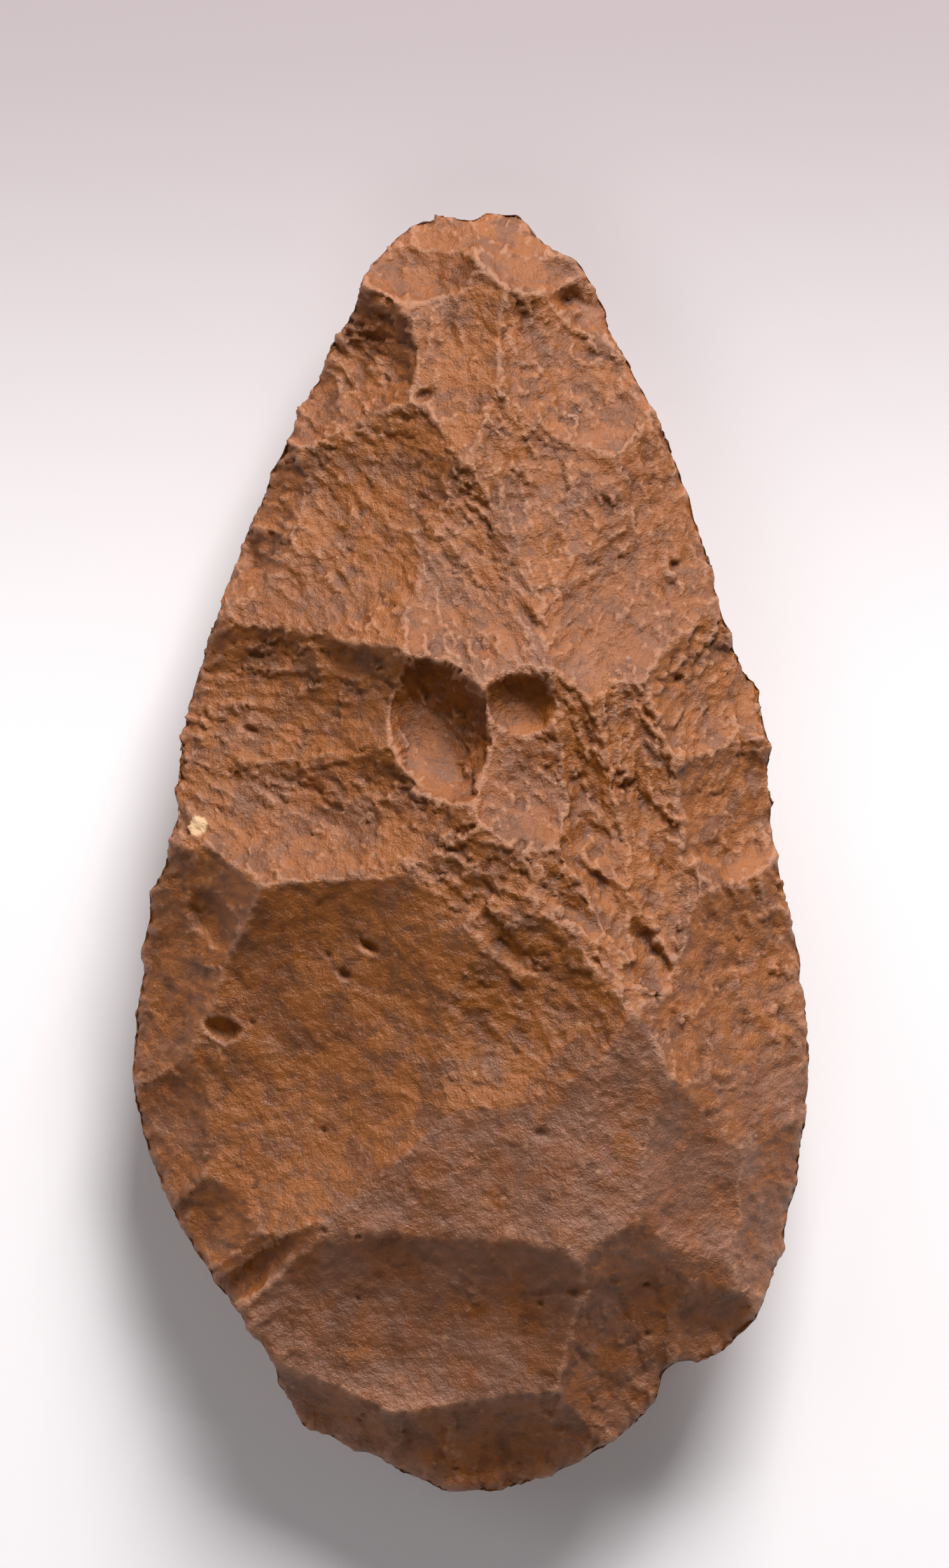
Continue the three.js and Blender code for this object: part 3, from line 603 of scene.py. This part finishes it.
# the grain that the mesh is too coarse for, from about 1 mm down
grain = add(tree, "ShaderNodeTexNoise",
            inputs={"Vector": place, "Scale": 1 / (1.3 * MM), "Detail": 6, "Roughness": 0.75})
wander = add(tree, "ShaderNodeTexNoise", inputs={"Vector": place, "Scale": 1 / (1.2 * MM), "Detail": 2})
wander = add(tree, "ShaderNodeVectorMath", {"operation": "MULTIPLY_ADD"},
             {0: wander.outputs["Color"], 1: (1.2 * MM,) * 3, 2: place})
facets = add(tree, "ShaderNodeTexVoronoi", {"distance": "CHEBYCHEV"},
             {"Vector": wander.outputs[0], "Scale": 1 / (1.1 * MM), "Detail": 2, "Roughness": 0.6})
facets = add(tree, "ShaderNodeMath", {"operation": "MULTIPLY_ADD"},
             {0: facets.outputs["Distance"], 1: 0.4, 2: grain.outputs[0]})
bump = add(tree, "ShaderNodeBump",
           inputs={"Height": facets.outputs[0], "Strength": 1.0, "Distance": 0.34 * MM})
surface = add(tree, "ShaderNodeBsdfPrincipled",
              inputs={"Base Color": pebbled.outputs[2], "Roughness": 0.42,
                      "Specular IOR Level": 0.7, "Normal": bump.outputs[0]})
add(tree, "ShaderNodeOutputMaterial", inputs={"Surface": surface.outputs[0]})

# grain, fluting and pits are raised on the struck surface, and how far each place stands out from
# its neighbourhood is kept for the colour: paler worn ridges with a painted highlight, and painted shade
# in the hollows
tree = bpy.data.node_groups.new("split stone", "GeometryNodeTree")
for name, kind, value in [
    ("Geometry", "NodeSocketGeometry", None), ("Grain Width", "NodeSocketFloat", 2.0 * MM),
    ("Grain Depth", "NodeSocketFloat", 0.9 * MM), ("Flake Width", "NodeSocketFloat", 2.8 * MM),
    ("Flake Length", "NodeSocketFloat", 7 * MM), ("Flake Depth", "NodeSocketFloat", 1.3 * MM),
    ("Pit Spacing", "NodeSocketFloat", 5 * MM), ("Pit Depth", "NodeSocketFloat", 0.7 * MM),
    ("Material", "NodeSocketMaterial", None),
]:
    socket = tree.interface.new_socket(name, in_out="INPUT", socket_type=kind)
    if value is not None:
        socket.default_value = value
tree.interface.new_socket("Geometry", in_out="OUTPUT", socket_type="NodeSocketGeometry")
given = add(tree, "NodeGroupInput").outputs
spot = add(tree, "GeometryNodeInputPosition").outputs[0]
outward = add(tree, "GeometryNodeInputNormal").outputs[0]
flow = add(tree, "GeometryNodeInputNamedAttribute", {"data_type": "FLOAT_VECTOR"},
           {"Name": "flow"}).outputs[0]
look = add(tree, "GeometryNodeInputNamedAttribute", {"data_type": "FLOAT_VECTOR"},
           {"Name": "look"}).outputs[0]
look = add(tree, "ShaderNodeSeparateXYZ", inputs={0: look})

grain_scale = add(tree, "ShaderNodeMath", {"operation": "DIVIDE"}, {0: 1.0, 1: given["Grain Width"]})
grain = add(tree, "ShaderNodeTexNoise",
            inputs={"Vector": spot, "Scale": grain_scale.outputs[0], "Detail": 5, "Roughness": 0.68})
grain = add(tree, "ShaderNodeMath", {"operation": "SUBTRACT"}, {0: grain.outputs[0], 1: 0.5})
grain = add(tree, "ShaderNodeMath", {"operation": "MULTIPLY"},
            {0: grain.outputs[0], 1: given["Grain Depth"]})

parts = add(tree, "ShaderNodeSeparateXYZ", inputs={0: flow})
which = add(tree, "ShaderNodeMath", {"operation": "MULTIPLY"}, {0: parts.outputs["Z"], 1: 1 / MM})
stray = add(tree, "ShaderNodeTexNoise",
            inputs={"Vector": spot, "Scale": grain_scale.outputs[0], "Detail": 3})
stray = add(tree, "ShaderNodeVectorMath", {"operation": "SUBTRACT"},
            {0: stray.outputs["Color"], 1: (0.5, 0.5, 0.5)})
heights = [grain.outputs[0]]
for part, weight in [(1.0, 1.0), (0.42, 0.75)]:
    # small flakes lying along the course of the blow, each a little tilted, with steps between
    long = add(tree, "ShaderNodeMath", {"operation": "MULTIPLY"}, {0: given["Flake Length"], 1: part})
    wide = add(tree, "ShaderNodeMath", {"operation": "MULTIPLY"}, {0: given["Flake Width"], 1: part})
    run = add(tree, "ShaderNodeMath", {"operation": "DIVIDE"}, {0: parts.outputs["X"], 1: long.outputs[0]})
    across = add(tree, "ShaderNodeMath", {"operation": "DIVIDE"},
                 {0: parts.outputs["Y"], 1: wide.outputs[0]})
    course = add(tree, "ShaderNodeCombineXYZ",
                 inputs={0: run.outputs[0], 1: across.outputs[0], 2: which.outputs[0]})
    course = add(tree, "ShaderNodeVectorMath", {"operation": "ADD"},
                 {0: course.outputs[0], 1: stray.outputs[0]})
    flakes = add(tree, "ShaderNodeTexVoronoi", inputs={"Vector": course.outputs[0], "Scale": 1.0})
    offset = add(tree, "ShaderNodeVectorMath", {"operation": "SUBTRACT"},
                 {0: course.outputs[0], 1: flakes.outputs["Position"]})
    lean = add(tree, "ShaderNodeVectorMath", {"operation": "SUBTRACT"},
               {0: flakes.outputs["Color"], 1: (0.5, 0.5, 0.5)})
    rise = add(tree, "ShaderNodeVectorMath", {"operation": "DOT_PRODUCT"},
               {0: offset.outputs[0], 1: lean.outputs[0]})
    depth = add(tree, "ShaderNodeMath", {"operation": "MULTIPLY"},
                {0: given["Flake Depth"], 1: weight})
    depth = add(tree, "ShaderNodeMath", {"operation": "MULTIPLY"},
                {0: depth.outputs[0], 1: look.outputs["X"]})
    rise = add(tree, "ShaderNodeMath", {"operation": "MULTIPLY"},
               {0: rise.outputs["Value"], 1: depth.outputs[0]})
    heights.append(rise.outputs[0])

pit_scale = add(tree, "ShaderNodeMath", {"operation": "DIVIDE"}, {0: 1.0, 1: given["Pit Spacing"]})
pits = add(tree, "ShaderNodeTexVoronoi",
           inputs={"Vector": spot, "Scale": pit_scale.outputs[0]})
chance = add(tree, "ShaderNodeSeparateXYZ", inputs={0: pits.outputs["Color"]})
mouth = add(tree, "ShaderNodeMapRange",
            inputs={"Value": chance.outputs["X"], "From Min": 0.6, "From Max": 1.0,
                    "To Min": 0.001, "To Max": 0.17})
pits = add(tree, "ShaderNodeMapRange", {"interpolation_type": "SMOOTHSTEP"},
           {"Value": pits.outputs["Distance"], "From Min": 0.0, "From Max": mouth.outputs[0],
            "To Min": -1.0, "To Max": 0.0})
pits = add(tree, "ShaderNodeMath", {"operation": "MULTIPLY"},
           {0: pits.outputs[0], 1: given["Pit Depth"]})

height = pits
for more in heights:
    height = add(tree, "ShaderNodeMath", {"operation": "ADD"}, {0: height.outputs[0], 1: more})
push = add(tree, "ShaderNodeVectorMath", {"operation": "SCALE"},
           {0: outward, "Scale": height.outputs[0]})
raised = add(tree, "GeometryNodeSetPosition",
             inputs={"Geometry": given["Geometry"], "Offset": push.outputs[0]}).outputs[0]

# cavity: how many millimetres the neighbourhood of a point stands above it
around = add(tree, "GeometryNodeBlurAttribute", {"data_type": "FLOAT_VECTOR"}, {"Iterations": 5})
tree.links.new(spot, next(s for s in around.inputs if s.type == "VECTOR" and s.enabled))
around = next(s for s in around.outputs if s.type == "VECTOR" and s.enabled)
rise = add(tree, "ShaderNodeVectorMath", {"operation": "SUBTRACT"}, {0: around, 1: spot})
rise = add(tree, "ShaderNodeVectorMath", {"operation": "DOT_PRODUCT"},
           {0: rise.outputs[0], 1: outward})
rise = add(tree, "ShaderNodeMath", {"operation": "DIVIDE"}, {0: rise.outputs["Value"], 1: MM})
raised = add(tree, "GeometryNodeStoreNamedAttribute", {"data_type": "FLOAT", "domain": "POINT"},
             {"Geometry": raised, "Name": "cavity", "Value": rise.outputs[0]}).outputs[0]
whole = add(tree, "GeometryNodeRealizeInstances", inputs={0: raised})
whole = add(tree, "GeometryNodeSetMaterial",
            inputs={"Geometry": whole.outputs[0], "Material": given["Material"]})
add(tree, "NodeGroupOutput", inputs={"Geometry": whole.outputs[0]})

split = axe.modifiers.new("split stone", "NODES")
split.node_group = tree
socket = next(s for s in tree.interface.items_tree if s.name == "Material")
split[socket.identifier] = chert
evaluated = axe.evaluated_get(bpy.context.evaluated_depsgraph_get())
finished = bpy.data.meshes.new_from_object(evaluated)
axe.modifiers.remove(split)
axe.data = finished

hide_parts("hand_axe")
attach(axe, "root")
